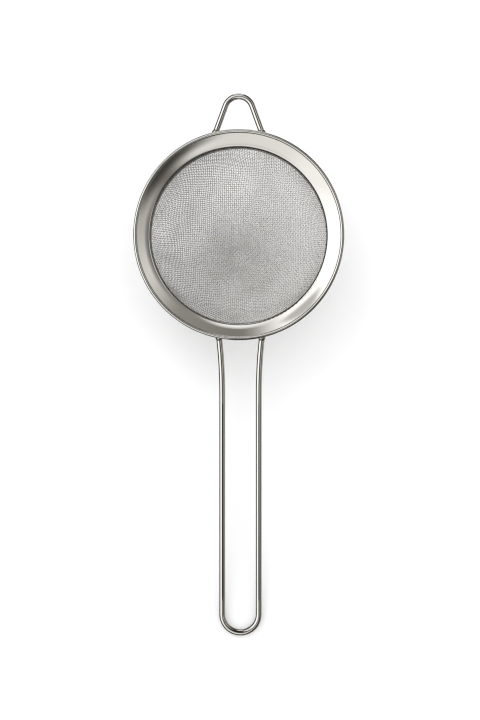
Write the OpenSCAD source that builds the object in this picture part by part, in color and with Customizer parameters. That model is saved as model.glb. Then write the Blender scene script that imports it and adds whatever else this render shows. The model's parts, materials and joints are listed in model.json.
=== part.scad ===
// Tea strainer: a pressed rim band holds a cup of woven wire cloth, a bent wire handle and a wire
// rest loop are welded under the rim's rolled edge.
//
// Every piece is drawn about the bowl's own axis, with the top of the rim at z = 0 and the handle
// along -Y, and posed() then lays the strainer down on its bowl and its handle's end, as it lies on
// a table. Lengths are in millimetres.

/* [Rim] */
// Outside diameter of the rim over its rolled edge
rim_d = 75; // [68:0.5:84]
// Thickness of the sheet that the rim and the clamp ring are pressed from
sheet_t = 0.4; // [0.3:0.05:0.5]
// Outside diameter of the rolled edge
bead_d = 1.36; // [1.2:0.02:1.6]
// Width of the dished flange, from the rolled edge to the shoulder
flange_w = 4.2; // [3:0.1:6]
// Slope of the flange where it meets the rolled edge, in degrees
flange_slope_out = 30; // [24:1:36]
// Slope of the flange where the shoulder starts, in degrees
flange_slope_in = 14; // [8:1:18]
// Radius of the shoulder, over its outside
shoulder_r = 1.1; // [0.9:0.05:1.4]
// Height of the upright wall below the shoulder
neck_h = 3.1; // [2.6:0.1:4]

/* [Bowl] */
// Depth of the wire cloth bowl below the rim's upright wall
bowl_depth = 23; // [18:0.5:26]
// Thickness of the woven cloth, over its crossing wires
cloth_t = 0.46; // [0.4:0.02:0.5]

/* [Handle] */
// Diameter of the wire of the handle and the rest loop
wire_d = 2.1; // [1.8:0.1:2.3]
// Distance from the bowl's axis to the handle's far end
handle_reach = 142.7; // [120:0.1:160]
// Width over the handle's two legs
handle_w = 15.1; // [12:0.1:18]
// Distance between the legs' centre lines where they meet the rim
handle_foot_spacing = 15.24; // [14:0.02:18]
// Distance from the bowl's axis to where the legs start to spread
spread_start = 56.7; // [50:0.1:70]
// How far to the right of the bowl's axis the handle is welded on
handle_shift = 0.6; // [0:0.1:1]

/* [Rest loop] */
// Distance from the bowl's axis to the rest loop's far end
rest_reach = 50.5; // [47:0.1:54]
// Radius of the rest loop's bend, to the wire's centre line
rest_bend_r = 5.05; // [4.5:0.05:6.5]
// Lean of the rest loop's legs away from its middle, in degrees
rest_lean = 20; // [12:1:24]

/* [Hidden] */
$fn = 96;

steel = [0.76, 0.75, 0.73];
cloth_steel = [0.66, 0.66, 0.65];
wire_steel = [0.70, 0.68, 0.66];
weld_steel = [0.62, 0.59, 0.56];

// Stretches of sheet and wire run a little way into the bends beside them, and the bends are a hair
// thicker, so that each piece is one solid
lap = 0.05;

// Rim: the rolled edge, the flange's arc, and the shoulder's arc that ends in the upright wall
rim_r = rim_d / 2;
bead_r = bead_d / 2;
bead_x = rim_r - bead_r;
bead_wall_r = bead_r - sheet_t / 2;
seam_angle = 255;
seam_gap = 16;
joint_angle = 25;
joint_overlap = 0.08;
shoulder_swell = 0.002;
flange_out_x = bead_x - bead_wall_r * cos(joint_angle);
flange_out_z = -bead_r - bead_wall_r * sin(joint_angle) + joint_overlap;
flange_in_x = flange_out_x - flange_w;
flange_r = flange_w / (sin(flange_slope_out) - sin(flange_slope_in));
flange_centre = [flange_out_x - flange_r * sin(flange_slope_out),
                 flange_out_z + flange_r * cos(flange_slope_out)];
flange_in_z = flange_centre[1] - flange_r * cos(flange_slope_in);
shoulder_centre = [flange_in_x + shoulder_r * sin(flange_slope_in),
                   flange_in_z - shoulder_r * cos(flange_slope_in)];
neck_in_r = shoulder_centre[0] - shoulder_r;
neck_out_r = neck_in_r + sheet_t;
neck_bottom_z = shoulder_centre[1] - neck_h;

// Cloth: its edge stands between the upright wall and the clamp ring, and its bowl is part of a
// sphere that passes through the middle of that edge
clamp_slack = 0.02;
cloth_edge_drop = 0.4;
ring_rise = 0.3;
cloth_edge_r = neck_out_r + clamp_slack + cloth_t / 2;
cloth_edge_top_z = shoulder_centre[1] - cloth_edge_drop;
bowl_r = (cloth_edge_r * cloth_edge_r + bowl_depth * bowl_depth) / (2 * bowl_depth);
bowl_centre_z = neck_bottom_z - bowl_depth + bowl_r;
ring_in_r = cloth_edge_r + cloth_t / 2 + clamp_slack;
ring_top_z = shoulder_centre[1] + ring_rise;

// Wire: both loops lie in one plane just under the rolled edge, and each foot is bent down to
// follow the underside of the flange
wire_r = wire_d / 2;
weld_gap = 0.05;
foot_inset = 0.2;
wire_z = -bead_d - weld_gap - wire_r;
foot_r = rim_r - foot_inset;
tuck_bend_r = 2.4;
tuck_angle = 24;
tuck_lead = 0.4;
bend_swell = 0.005;
handle_tuck = 1.8;
rest_tuck = 1.6;

// Handle: a half-round end, straight legs, then a long gentle bend out to each foot
handle_tip_y = handle_reach - wire_r;
leg_x = handle_w / 2 - wire_r;
handle_foot_x = handle_foot_spacing / 2;
handle_foot_y = sqrt(foot_r * foot_r - handle_foot_x * handle_foot_x);
leg_l = handle_tip_y - leg_x - spread_start;
spread_run = spread_start - handle_foot_y;
spread_x = handle_foot_x - leg_x;
spread_r = (spread_run * spread_run + spread_x * spread_x) / (2 * spread_x);
spread_angle = asin(spread_run / spread_r);

// Rest loop: one bend at the top, and legs that run on until they pass under the rolled edge
rest_tip_y = rest_reach - wire_r;
rest_leg_x = rest_bend_r * cos(rest_lean);
rest_leg_y = rest_tip_y - rest_bend_r * (1 - sin(rest_lean));
rest_along = rest_leg_y * cos(rest_lean) - rest_leg_x * sin(rest_lean);
rest_leg_l = rest_along - sqrt(foot_r * foot_r - rest_leg_x * rest_leg_x
                               - rest_leg_y * rest_leg_y + rest_along * rest_along);
rest_foot_x = rest_leg_x + rest_leg_l * sin(rest_lean);
rest_foot_y = rest_leg_y - rest_leg_l * cos(rest_lean);

// Welds: a nugget in the corner between each foot and the rolled edge
weld_d = 2.6;
weld_rise = 0.5;

// Lying pose: the tilt at which the bowl's cloth and the handle's end touch the same table
bowl_out_r = bowl_r + cloth_t / 2;
centre_rise = bowl_centre_z - wire_z;
tilt = asin((bowl_out_r - wire_r) / norm([centre_rise, handle_tip_y]))
       - atan2(centre_rise, handle_tip_y);
lift = bowl_out_r - bowl_centre_z * cos(tilt);
front_y = -handle_tip_y * cos(tilt) - wire_z * sin(tilt) - wire_r;
back_y = rest_tip_y * cos(tilt) - wire_z * sin(tilt) + wire_r;

module posed() {
    translate([0, -(front_y + back_y) / 2, lift]) rotate([tilt, 0, 0]) children();
}

// Part of a flat ring, from one angle to another, which may be up to 180 degrees apart
module arc_strip(centre, outer_r, inner_r, start, end) {
    far = outer_r * 2;
    steps = 4;
    step = (end - start) / steps;
    translate(centre)
        intersection() {
            difference() {
                circle(outer_r);
                circle(inner_r);
            }
            polygon([[0, 0],
                     for (i = [0 : steps]) far * [cos(start + step * i), sin(start + step * i)]]);
        }
}

// The rolled edge: a tube whose seam is left open just outside the flange's underside
module bead_profile() {
    half_turn = 180 - seam_gap / 2;
    for (half = [0, 1])
        arc_strip([bead_x, -bead_r], bead_r, bead_r - sheet_t,
                  seam_angle + seam_gap / 2 + half * half_turn,
                  seam_angle + seam_gap / 2 + (half + 1) * half_turn);
}

module flange_profile() {
    lap_angle = asin(lap / flange_r);
    arc_strip(flange_centre, flange_r + sheet_t, flange_r,
              flange_slope_in - 90 - lap_angle, flange_slope_out - 90);
}

module shoulder_profile() {
    arc_strip(shoulder_centre, shoulder_r + shoulder_swell, shoulder_r - sheet_t - shoulder_swell,
              90 + flange_slope_in, 180);
}

module neck_profile() {
    translate([neck_in_r, neck_bottom_z]) square([sheet_t, neck_h + lap]);
}

module rim_shape() {
    rotate_extrude() {
        bead_profile();
        flange_profile();
        shoulder_profile();
        neck_profile();
    }
}

// The outer hoop that grips the cloth's edge against the upright wall, with a rounded lower lip
module ring_shape() {
    rotate_extrude() {
        translate([ring_in_r, neck_bottom_z])
            square([sheet_t, ring_top_z - neck_bottom_z]);
        translate([ring_in_r + sheet_t / 2, neck_bottom_z]) circle(sheet_t / 2);
    }
}

// The cloth as a plain shell as thick as the weave: the bowl, and the upright edge above it
module cloth_shape() {
    rotate_extrude() {
        intersection() {
            translate([0, bowl_centre_z])
                difference() {
                    circle(bowl_r + cloth_t / 2);
                    circle(bowl_r - cloth_t / 2);
                }
            translate([0, neck_bottom_z - bowl_depth - cloth_t]) square([rim_r, bowl_depth + cloth_t]);
        }
        translate([cloth_edge_r - cloth_t / 2, neck_bottom_z - lap])
            square([cloth_t, cloth_edge_top_z - neck_bottom_z + lap]);
    }
}

module both_sides() {
    children();
    mirror([1, 0, 0]) children();
}

// A straight stretch of wire along +Z, with whatever follows it placed at its far end
module straight_wire(length) {
    translate([0, 0, -lap]) cylinder(h = length + 2 * lap, r = wire_r);
    translate([0, 0, length]) children();
}

// A bend about Z, from one angle to another
module flat_bend(radius, start, angle) {
    rotate([0, 0, start])
        rotate_extrude(angle = angle) translate([radius, 0]) circle(wire_r + bend_swell);
}

// A bend that starts along +Z and turns towards +X, with whatever follows it at its far end
module bent_wire(radius, angle) {
    translate([radius, 0, 0]) rotate([90, 0, 180]) flat_bend(radius, 0, angle);
    translate([radius * (1 - cos(angle)), 0, radius * sin(angle)]) rotate([0, angle, 0]) children();
}

// A foot that starts along +Z, bends towards +X and ends in a straight
module foot_wire(length) {
    straight_wire(tuck_lead) bent_wire(tuck_bend_r, tuck_angle) straight_wire(length);
}

// The long U: its end bend, then on each side a straight leg, the gentle bend outwards and the foot
module handle_shape() {
    translate([handle_shift, leg_x - handle_tip_y, wire_z]) {
        flat_bend(leg_x, 180, 180);
        both_sides()
            translate([leg_x, 0, 0]) rotate([-90, 0, 0])
                straight_wire(leg_l) bent_wire(spread_r, spread_angle)
                    rotate([0, 0, 90]) foot_wire(handle_tuck);
    }
}

// The rounded V: its top bend, then on each side a leaning leg and the foot
module rest_shape() {
    translate([0, rest_tip_y - rest_bend_r, wire_z]) {
        flat_bend(rest_bend_r, rest_lean, 180 - 2 * rest_lean);
        both_sides()
            rotate([0, 0, rest_lean]) translate([rest_bend_r, 0, 0]) rotate([90, 90, 0])
                straight_wire(rest_leg_l) foot_wire(rest_tuck);
    }
}

module weld_nugget(foot_x, foot_y) {
    difference() {
        translate([foot_x, foot_y, wire_z + weld_rise]) sphere(d = weld_d);
        rim_shape();
        if (foot_y < 0) handle_shape();
        else rest_shape();
    }
}

module rim_band() {
    color(steel) posed() rim_shape();
}

module mesh_clamp_ring() {
    color(steel) posed() ring_shape();
}

module mesh_bowl() {
    color(cloth_steel) posed() cloth_shape();
}

module handle_wire() {
    color(wire_steel) posed() handle_shape();
}

module rest_loop() {
    color(wire_steel) posed() rest_shape();
}

module handle_weld(side) {
    color(weld_steel) posed() weld_nugget(handle_shift + side * handle_foot_x, -handle_foot_y);
}

module rest_weld(side) {
    color(weld_steel) posed() weld_nugget(side * rest_foot_x, rest_foot_y);
}

rim_band();
mesh_clamp_ring();
mesh_bowl();
handle_wire();
rest_loop();
handle_weld(-1);  // handle_weld_left
handle_weld(1);  // handle_weld_right
rest_weld(-1);  // rest_weld_left
rest_weld(1);  // rest_weld_right
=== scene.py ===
import json
import math

import bpy
import numpy as np
from mathutils import Matrix, Vector, noise


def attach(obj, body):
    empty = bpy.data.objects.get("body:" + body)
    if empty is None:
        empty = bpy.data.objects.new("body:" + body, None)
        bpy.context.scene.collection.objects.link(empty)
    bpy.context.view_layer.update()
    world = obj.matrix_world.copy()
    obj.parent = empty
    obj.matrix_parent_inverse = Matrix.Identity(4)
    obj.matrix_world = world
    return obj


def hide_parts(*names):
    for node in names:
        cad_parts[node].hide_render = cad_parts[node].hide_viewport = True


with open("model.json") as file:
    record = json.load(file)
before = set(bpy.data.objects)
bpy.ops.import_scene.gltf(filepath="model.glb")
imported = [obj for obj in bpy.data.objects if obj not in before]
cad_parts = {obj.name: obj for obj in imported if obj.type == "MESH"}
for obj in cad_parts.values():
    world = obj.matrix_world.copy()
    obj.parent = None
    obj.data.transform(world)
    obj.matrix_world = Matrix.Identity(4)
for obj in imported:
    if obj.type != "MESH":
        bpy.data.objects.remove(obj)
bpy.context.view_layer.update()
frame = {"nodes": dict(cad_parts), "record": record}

MM = 0.001

# ---------------------------------------------------------------- the strainer's own frame
# Local axes: x to the right, y away from the handle, z along the bowl's axis out of its mouth,
# with z = 0 at the top of the rim.

mounts = {mount["name"]: mount for mount in frame["record"]["mounts"]}
seat = Vector(mounts["holder_seat"]["pos_m"])
mouth = -Vector(mounts["holder_seat"]["axis"]).normalized()
right = Vector((1, 0, 0))
away = mouth.cross(right)
turn = Matrix((right, away, mouth)).transposed()


def vertices(node):
    mesh = frame["nodes"][node].data
    points = np.zeros(len(mesh.vertices) * 3)
    mesh.vertices.foreach_get("co", points)
    return points.reshape(-1, 3)


def to_local(points, origin):
    return (points - np.array(origin)) @ np.array(turn)


rim_top = seat + mouth * float(to_local(vertices("rim_band"), seat)[:, 2].max())
local = Matrix.Translation(rim_top) @ turn.to_4x4()


def ring_sizes(node):
    """Smallest and largest radius about the bowl's axis, and lowest and highest local z"""
    points = to_local(vertices(node), rim_top)
    radius = np.hypot(points[:, 0], points[:, 1])
    return radius.min(), radius.max(), points[:, 2].min(), points[:, 2].max()


# ---------------------------------------------------------------- node helpers

class Nodes:
    """Adds nodes to a tree and links them: an input is another node's socket or a plain value"""

    def __init__(self, tree):
        self.tree = tree

    def add(self, kind, inputs=(), **settings):
        node = self.tree.nodes.new("ShaderNode" + kind)
        for name, value in settings.items():
            setattr(node, name, value)
        for key, value in dict(inputs).items():
            if isinstance(value, bpy.types.NodeSocket):
                self.tree.links.new(value, node.inputs[key])
            else:
                node.inputs[key].default_value = value
        return node

    def math(self, operation, *values):
        return self.add("Math", enumerate(values), operation=operation).outputs[0]

    def vector_math(self, operation, *values, output=0):
        return self.add("VectorMath", enumerate(values), operation=operation).outputs[output]

    def clouds(self, scale, detail=2.0, **place):
        return self.add("TexNoise", {"Scale": scale, "Detail": detail, **place}).outputs["Fac"]

    def scaled(self, vector, factor):
        return self.add("VectorMath", {0: vector, "Scale": factor}, operation="SCALE").outputs[0]

    def smooth_step(self, value, low, high, to_low=0.0, to_high=1.0):
        inputs = {"Value": value, "From Min": low, "From Max": high, "To Min": to_low, "To Max": to_high}
        return self.add("MapRange", inputs, interpolation_type="SMOOTHSTEP").outputs["Result"]

    def mix_colour(self, factor, a, b):
        node = self.add("Mix", {"Factor": factor}, data_type="RGBA")
        for socket, value in ((node.inputs[6], a), (node.inputs[7], b)):
            if isinstance(value, bpy.types.NodeSocket):
                self.tree.links.new(value, socket)
            else:
                socket.default_value = value
        return node.outputs[2]


def new_material(name):
    material = bpy.data.materials.new(name)
    material.use_nodes = True
    material.node_tree.nodes.clear()
    return material, Nodes(material.node_tree)


def grey(value, warmth=0.0):
    return (value * (1 + warmth / 2), value, value * (1 - warmth), 1.0)


# ---------------------------------------------------------------- steel finishes

GRAIN_SCALE = 4000.0    # grains per metre
GRAIN_CONTRAST = 0.3    # how far the grain changes the roughness, as a share of it
PATCH_SCALE = 140.0     # patches of duller metal per metre
SPUN_STRETCH = 3 * MM   # how far a spun line runs before it fades, against the grain across it
SEAM_LOW = -3.1 * MM    # local heights between which the painted shade of the seam fades out
SEAM_HIGH = -2.65 * MM
# colour of the painted shade in the crease where the cloth is clamped
SEAM_SHADE_COLOUR = grey(0.08, 0.15)


def plain_place(n):
    return n.add("TexCoord").outputs["Object"]


def from_axis(n):
    """Distance out from the bowl's axis, height along it, and the direction outwards"""
    spot = n.vector_math("SUBTRACT", n.add("NewGeometry").outputs["Position"], tuple(rim_top))
    height = n.vector_math("DOT_PRODUCT", spot, tuple(mouth), output=1)
    along = n.scaled(tuple(mouth), height)
    flat = n.vector_math("SUBTRACT", spot, along)
    return n.vector_math("LENGTH", flat, output=1), height, n.vector_math("NORMALIZE", flat)


def spun_place(n):
    """Texture space in which grain runs in circles round the bowl's axis"""
    radius, height, outwards = from_axis(n)
    across = n.add("CombineXYZ", {2: n.math("ADD", radius, height)}).outputs[0]
    return n.vector_math("ADD", n.scaled(outwards, SPUN_STRETCH), across)


def painted_seam_shade(n, colour):
    """Painted shade: darkens the lower shoulder and the neck, in the crease where the cloth is clamped
    """
    _, height, _ = from_axis(n)
    return n.mix_colour(n.smooth_step(height, SEAM_LOW, SEAM_HIGH), SEAM_SHADE_COLOUR, colour)


def steel(name, bright, dull, roughness, grain_depth, place=plain_place, metallic=1.0, seam=False):
    """Bare steel: patches of slightly duller metal, and a fine grain in roughness and bump; where asked,
    painted shade low down at the seam
    """
    material, n = new_material(name)
    patches = n.clouds(PATCH_SCALE, detail=3.0, Vector=plain_place(n))
    grain = n.clouds(GRAIN_SCALE, Vector=place(n))
    colour = n.mix_colour(patches, dull, bright)
    # painted shade: the colour darkens low on the rim, where the cloth is clamped
    if seam:
        colour = painted_seam_shade(n, colour)
    smoothest, roughest = roughness * (1 - GRAIN_CONTRAST), roughness * (1 + GRAIN_CONTRAST)
    rough = n.add("MapRange", {"Value": grain, "To Min": smoothest, "To Max": roughest})
    bump = n.add("Bump", {"Height": grain, "Strength": 1.0, "Distance": grain_depth})
    shader = n.add("BsdfPrincipled", {
        "Base Color": colour,
        "Metallic": metallic,
        "Roughness": rough.outputs["Result"],
        "Normal": bump.outputs["Normal"],
    })
    n.add("OutputMaterial", {"Surface": shader.outputs[0]})
    return material


BRIGHT = (0.80, 0.795, 0.78, 1)
DULL = (0.74, 0.735, 0.72, 1)
# the rim's steel carries the painted shade at the seam
rim_steel = steel("rim_steel", BRIGHT, DULL, 0.08, 0.002 * MM, place=spun_place, seam=True)
ring_steel = steel("ring_steel", BRIGHT, DULL, 0.28, 0.002 * MM, place=spun_place, metallic=0.8)
wire_steel = steel("wire_steel", BRIGHT, DULL, 0.04, 0.001 * MM)
weld_steel = steel("weld_steel", (0.76, 0.74, 0.72, 1), (0.55, 0.50, 0.45, 1), 0.22, 0.01 * MM)
cloth_steel = steel("cloth_steel", (0.92, 0.915, 0.90, 1), (0.86, 0.855, 0.84, 1), 0.14, 0.001 * MM,
                    metallic=0.85)

FINISHES = {
    "rim_band": rim_steel,
    "mesh_clamp_ring": ring_steel,
    "handle_wire": wire_steel,
    "rest_loop": wire_steel,
    "handle_weld_left": weld_steel,
    "handle_weld_right": weld_steel,
    "rest_weld_left": weld_steel,
    "rest_weld_right": weld_steel,
}
for node, finish in FINISHES.items():
    frame["nodes"][node].data.materials.clear()
    frame["nodes"][node].data.materials.append(finish)

# ---------------------------------------------------------------- woven wire cloth
# Plain weave of two families of wires that cross at a constant distance along each wire, as cloth
# lies when it is pressed into a bowl: the squares turn into rhombs towards the diagonals.

PITCH = 0.79 * MM       # from one wire to the next
CLOTH_WIRE = 0.26 * MM  # diameter of a wire
WANDER = 1.1 * MM       # strength of the wires' straying from their true lines
WANDER_SCALE = 3.4      # waves of that straying along one radius of the bowl
STEPS = 4               # points along a wire from one crossing to the next
SIDES = 6               # corners of a wire's cross section
PARTS = 3               # objects for each family of wires
EDGE_BAND = 0.1 * MM    # height of the cloth's upper edge that its thickness is read from
EDGE_CLEARANCE = 0.3 * MM   # how far the wires end below the top of the cloth's edge

_, _, cloth_low, cloth_high = ring_sizes("mesh_bowl")
_, _, neck_low, _ = ring_sizes("rim_band")
strip = to_local(vertices("mesh_bowl"), rim_top)
strip = np.hypot(*strip[strip[:, 2] > cloth_high - EDGE_BAND, :2].T)
edge_r = (strip.min() + strip.max()) / 2
cloth_t = strip.max() - strip.min()
bowl_depth = neck_low - (cloth_low + cloth_t / 2)
bowl_r = (edge_r ** 2 + bowl_depth ** 2) / (2 * bowl_depth)
bowl_centre_z = neck_low - bowl_depth + bowl_r
edge_angle = math.acos(1 - bowl_depth / bowl_r)
strip_h = cloth_high - neck_low - EDGE_CLEARANCE


def net_quadrant(count):
    """Crossings in one quarter of the bowl, as unit vectors from the bowl's centre, pole first"""
    step = 2 * math.asin(PITCH / bowl_r / 2)
    net = np.zeros((count, count, 3))
    angle = step * np.arange(count)
    net[:, 0] = np.stack([np.sin(angle), 0 * angle, -np.cos(angle)], axis=1)
    net[0, :] = np.stack([0 * angle, np.sin(angle), -np.cos(angle)], axis=1)
    for i in range(1, count):
        for j in range(1, count):
            a, b = net[i - 1, j], net[i, j - 1]
            plane = np.cross(a, b)
            plane /= np.linalg.norm(plane)
            net[i, j] = net[i - 1, j - 1] - 2 * net[i - 1, j - 1].dot(plane) * plane
    return net


def full_net():
    """All four quarters, with the pole in the middle of the array"""
    reach = int(bowl_r * (edge_angle + strip_h / bowl_r) / PITCH) + 2
    quarter = net_quadrant(reach + 1)
    net = np.zeros((2 * reach + 1, 2 * reach + 1, 3))
    for sx in (1, -1):
        for sy in (1, -1):
            part = quarter * np.array([sx, sy, 1])
            net[reach::sx, reach::sy][: reach + 1, : reach + 1] = part
    return wandering(net)


def wandering(net):
    """Lets the wires stray a little from their true lines, as real cloth does"""
    flat = net.reshape(-1, 3)
    stray = np.array([noise.noise_vector(Vector(point) * WANDER_SCALE) for point in flat])
    flat = flat + stray * WANDER / bowl_r
    flat /= np.linalg.norm(flat, axis=1)[:, None]
    return flat.reshape(net.shape)


def lay_on_cloth(direction):
    """Points of the cloth's middle surface, its normals there, and the distance past the bowl's edge"""
    polar = np.arccos(np.clip(-direction[:, 2], -1, 1))
    flat = direction[:, :2] / np.maximum(np.linalg.norm(direction[:, :2], axis=1), 1e-9)[:, None]
    past = (polar - edge_angle) * bowl_r
    in_bowl = past < 0
    radius = np.where(in_bowl, bowl_r * np.sin(polar), edge_r)
    height = np.where(in_bowl, bowl_centre_z - bowl_r * np.cos(polar), neck_low + past)
    points = np.column_stack([flat * radius[:, None], height])
    normals = np.where(in_bowl[:, None], -direction, np.column_stack([-flat, 0 * height]))
    return points, normals, past


def wire_path(crossings, first_sign):
    """Centre line of one wire of the cloth, weaving over and under at its crossings"""
    at = np.arange((len(crossings) - 1) * STEPS + 1) / STEPS
    low = np.minimum(at.astype(int), len(crossings) - 2)
    share = (at - low)[:, None]
    direction = crossings[low] * (1 - share) + crossings[low + 1] * share
    direction /= np.linalg.norm(direction, axis=1)[:, None]
    points, normals, past = lay_on_cloth(direction)
    wave = first_sign * np.cos(math.pi * at) * CLOTH_WIRE / 2
    points += normals * wave[:, None]
    keep = past < strip_h
    return points[keep], normals[keep]


def tube(points, normals, radius):
    """Vertices and faces of a closed round tube along a path"""
    along = np.gradient(points, axis=0)
    along /= np.linalg.norm(along, axis=1)[:, None]
    up = normals - (normals * along).sum(axis=1)[:, None] * along
    up /= np.linalg.norm(up, axis=1)[:, None]
    across = np.cross(along, up)
    angle = 2 * math.pi * np.arange(SIDES) / SIDES
    rings = (points[:, None] + radius * (np.cos(angle)[None, :, None] * up[:, None]
                                         + np.sin(angle)[None, :, None] * across[:, None]))
    count = len(points)
    ring = np.arange(SIDES)
    base = (np.arange(count - 1) * SIDES)[:, None]
    quads = np.stack([base + ring, base + (ring + 1) % SIDES,
                      base + SIDES + (ring + 1) % SIDES, base + SIDES + ring], axis=2).reshape(-1, 4)
    caps = [list(ring[::-1]), list((count - 1) * SIDES + ring)]
    return rings.reshape(-1, 3), quads, caps


def mesh_object(name, points, faces, matrix, material):
    mesh = bpy.data.meshes.new(name)
    mesh.from_pydata(points.tolist(), [], faces)
    mesh.transform(matrix)
    mesh.update()
    mesh.shade_smooth()
    mesh.materials.append(material)
    piece = bpy.data.objects.new(name, mesh)
    bpy.context.scene.collection.objects.link(piece)
    return piece


def cloth_piece(name, wires):
    points, faces, used = [], [], 0
    for crossings, sign in wires:
        path, normals = wire_path(crossings, sign)
        if len(path) < 2 * STEPS:
            continue
        ring_points, quads, caps = tube(path, normals, CLOTH_WIRE / 2)
        points.append(ring_points)
        faces += (quads + used).tolist() + [[int(v) + used for v in cap] for cap in caps]
        used += len(ring_points)
    piece = mesh_object(name, np.concatenate(points), faces, local, cloth_steel)
    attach(piece, "root")
    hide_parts("mesh_bowl")
    return piece


def inside_bowl(crossings):
    """The unbroken run of a wire's crossings that lies in the bowl or just past its edge"""
    limit = -math.cos(edge_angle + (strip_h + PITCH) / bowl_r)
    where = np.flatnonzero(crossings[:, 2] < limit)
    return (where[0], where[-1] + 1) if len(where) > 2 else None


def family_wires(net, family):
    """The wires of one family: each one's crossings and whether its first crossing is over or under"""
    wires = []
    for k in range(net.shape[0]):
        crossings = net[k] if family == "warp" else net[:, k]
        run = inside_bowl(crossings)
        if run:
            over = (-1) ** (k + run[0] + (family == "weft"))
            wires.append((crossings[run[0]:run[1]], over))
    return wires


net = full_net()
for family in ("warp", "weft"):
    wires = family_wires(net, family)
    for part, chunk in enumerate(np.array_split(np.arange(len(wires)), PARTS)):
        cloth_piece(f"cloth_{family}_{part + 1}", [wires[k] for k in chunk])

# ---------------------------------------------------------------- floor, light and camera

FLOOR_X = FLOOR_Y = (-3.0, 3.0)
FLOOR_CLOUDS = 6.0
FLOOR_DARK = grey(0.915)
FLOOR_LIGHT = grey(0.925)

CARD_X = (-10 * MM, 30 * MM)
CARD_Y = (-140 * MM, -62 * MM)
CARD_HEIGHT = 50 * MM   # above the rim plane
CARD_CLOUDS = 40.0
CARD_DARK = grey(0.01, 0.3)
CARD_LIGHT = grey(0.02, 0.3)


def flat_sheet(name, x_span, y_span, height, frame_of_sheet, material):
    """One rectangular face, square to the z axis of the frame it is placed in"""
    corners = [(x, y, height) for x, y in (
        (x_span[0], y_span[0]), (x_span[1], y_span[0]), (x_span[1], y_span[1]), (x_span[0], y_span[1]))]
    mesh = bpy.data.meshes.new(name)
    mesh.from_pydata(corners, [], [(0, 1, 2, 3)])
    mesh.transform(frame_of_sheet)
    mesh.materials.append(material)
    sheet = bpy.data.objects.new(name, mesh)
    bpy.context.scene.collection.objects.link(sheet)
    return sheet


def floor_paper():
    material, n = new_material("floor_paper")
    colour = n.mix_colour(n.clouds(FLOOR_CLOUDS), FLOOR_DARK, FLOOR_LIGHT)
    shader = n.add("BsdfPrincipled", {"Base Color": colour, "Roughness": 0.9, "Specular IOR Level": 0.0})
    n.add("OutputMaterial", {"Surface": shader.outputs[0]})
    return material


def black_card():
    material, n = new_material("black_card")
    colour = n.mix_colour(n.clouds(CARD_CLOUDS), CARD_DARK, CARD_LIGHT)
    shader = n.add("Emission", {"Color": colour})
    n.add("OutputMaterial", {"Surface": shader.outputs[0]})
    return material


def make_floor():
    floor = flat_sheet("floor", FLOOR_X, FLOOR_Y, 0, Matrix.Identity(4), floor_paper())
    floor.visible_glossy = False


def make_dark_card():
    """A black flag above the handle, out of the picture: it puts the dark core into the wires"""
    card = flat_sheet("dark_card", CARD_X, CARD_Y, CARD_HEIGHT, local, black_card())
    for ray in ("camera", "diffuse", "transmission", "volume_scatter", "shadow"):
        setattr(card, "visible_" + ray, False)


make_floor()
make_dark_card()

# What polished steel sees of the studio, in the strainer's own frame: hours are directions round
# the bowl's axis with 12 away from the handle, and the other angles are in degrees off that axis.
RING_LIGHT = {12: 0.24, 1: 0.30, 2: 0.78, 3: 0.53, 4: 0.20, 5: 0.88, 6: 0.87, 7: 0.93, 8: 1.13,
              9: 1.4, 10: 1.4, 11: 1.3}
BRIGHTEST = 1.5
ROOM_LIGHT = 1.20       # the even light on everything that is not a mirror
RING_LEAN = (9, 10)     # hour and angle that the ring of lights leans to
RING_EDGE = (60, 68)    # full light inside the first angle, dark room outside the second
ROOM = 0.07
TINT = 0.035            # a grey's warmth is TINT / (brightness + TINT_SOFTENING)
TINT_SOFTENING = 0.2
PATCHES = [
    # hour, off axis, radius of the even core, radius with the soft edge, brightness
    (12, 0, 12, 26, 0.2),
    (12, 180, 30, 60, 0.15),
    (3, 120, 25, 45, 0.4),
    (12, 97, 12, 20, 1.3),
    (12, 26, 6, 14, 1.3),
    (4.4, 62, 14, 38, 0.05),
    (10.8, 46, 5, 12, 0.6),
    (2, 17, 7, 22, 0.03),
]


def tinted(brightness):
    """The studio's greys, warmer the darker they are"""
    return grey(brightness, TINT / (brightness + TINT_SOFTENING))


def studio_direction(hour, off_axis):
    clock, off_axis = math.radians(90 - 30 * hour), math.radians(off_axis)
    in_frame = Vector((math.sin(off_axis) * math.cos(clock),
                       math.sin(off_axis) * math.sin(clock), math.cos(off_axis)))
    return turn @ in_frame


def around(n, ray, hour, off_axis, core, edge):
    """1 within `core` degrees of a direction, falling to 0 at `edge` degrees"""
    cosine = n.vector_math("DOT_PRODUCT", ray, tuple(studio_direction(hour, off_axis)), output=1)
    return n.smooth_step(cosine, math.cos(math.radians(edge)), math.cos(math.radians(core)))


def ring_light(n, ray):
    """Brightness by the hour, wrapped round the bowl's axis"""
    x = n.vector_math("DOT_PRODUCT", ray, tuple(right), output=1)
    y = n.vector_math("DOT_PRODUCT", ray, tuple(away), output=1)
    turned = n.math("DIVIDE", n.math("ARCTAN2", x, y), 2 * math.pi)
    ramp = n.add("ValToRGB", {"Fac": n.math("WRAP", turned, 1.0, 0.0)})
    stops = ramp.color_ramp
    stops.interpolation = "EASE"
    for hour in range(1, 12):
        stops.elements.new(hour / 12)
    for hour, stop in enumerate(stops.elements):
        stop.color = tinted(RING_LIGHT[hour or 12] / BRIGHTEST)
    return n.scaled(ramp.outputs["Color"], BRIGHTEST)


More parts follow.
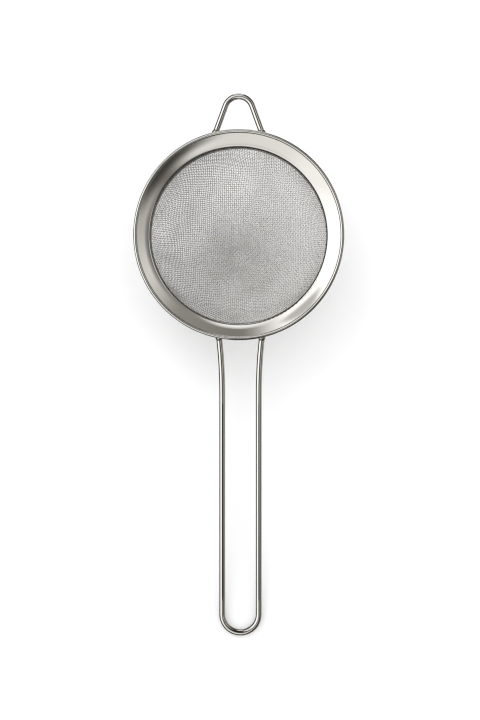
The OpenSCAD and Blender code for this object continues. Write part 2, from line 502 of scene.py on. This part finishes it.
def make_world():
    world = bpy.data.worlds.new("studio")
    bpy.context.scene.world = world
    world.use_nodes = True
    world.node_tree.nodes.clear()
    world.cycles.sampling_method = "NONE"
    n = Nodes(world.node_tree)
    ray = n.add("TexCoord").outputs["Generated"]
    light = n.mix_colour(around(n, ray, *RING_LEAN, *RING_EDGE), tinted(ROOM), ring_light(n, ray))
    for hour, off_axis, core, edge, brightness in PATCHES:
        light = n.mix_colour(around(n, ray, hour, off_axis, core, edge), light, tinted(brightness))
    glossy = n.add("LightPath").outputs["Is Glossy Ray"]
    seen = n.mix_colour(glossy, grey(ROOM_LIGHT), light)
    background = n.add("Background", {"Color": seen, "Strength": 1.0})
    n.add("OutputWorld", {"Surface": background.outputs[0]})


make_world()


KEY_SIZE = 0.8
KEY_WATTS = 2.1
KEY_PLACE = Vector((-0.55, 0.75, 0.9))
KEY_AIM = Vector((0, 0.045, 0))


def make_key_light():
    light = bpy.data.lights.new("key", "AREA")
    light.shape = "DISK"
    light.size = KEY_SIZE
    light.energy = KEY_WATTS
    lamp = bpy.data.objects.new("key", light)
    lamp.visible_glossy = False
    lamp.location = KEY_PLACE
    lamp.rotation_mode = "QUATERNION"
    lamp.rotation_quaternion = (KEY_AIM - KEY_PLACE).to_track_quat("-Z", "Y")
    bpy.context.scene.collection.objects.link(lamp)


make_key_light()

VIEW_DISTANCE = 0.45
VIEW_HEIGHT = 255.3 * MM      # what the picture's long side takes in at the rim plane
VIEW_CENTRE = Vector((0.43, -44.51, 0)) * MM
SENSOR = 36.0


def make_camera():
    data = bpy.data.cameras.new("camera")
    data.sensor_width = SENSOR
    data.lens = SENSOR * VIEW_DISTANCE / VIEW_HEIGHT
    camera = bpy.data.objects.new("camera", data)
    camera.matrix_world = local @ Matrix.Translation(VIEW_CENTRE + Vector((0, 0, VIEW_DISTANCE)))
    bpy.context.scene.collection.objects.link(camera)
    bpy.context.scene.camera = camera


make_camera()
bpy.context.scene.view_settings.view_transform = "Standard"
bpy.context.scene.cycles.filter_width = 1.2
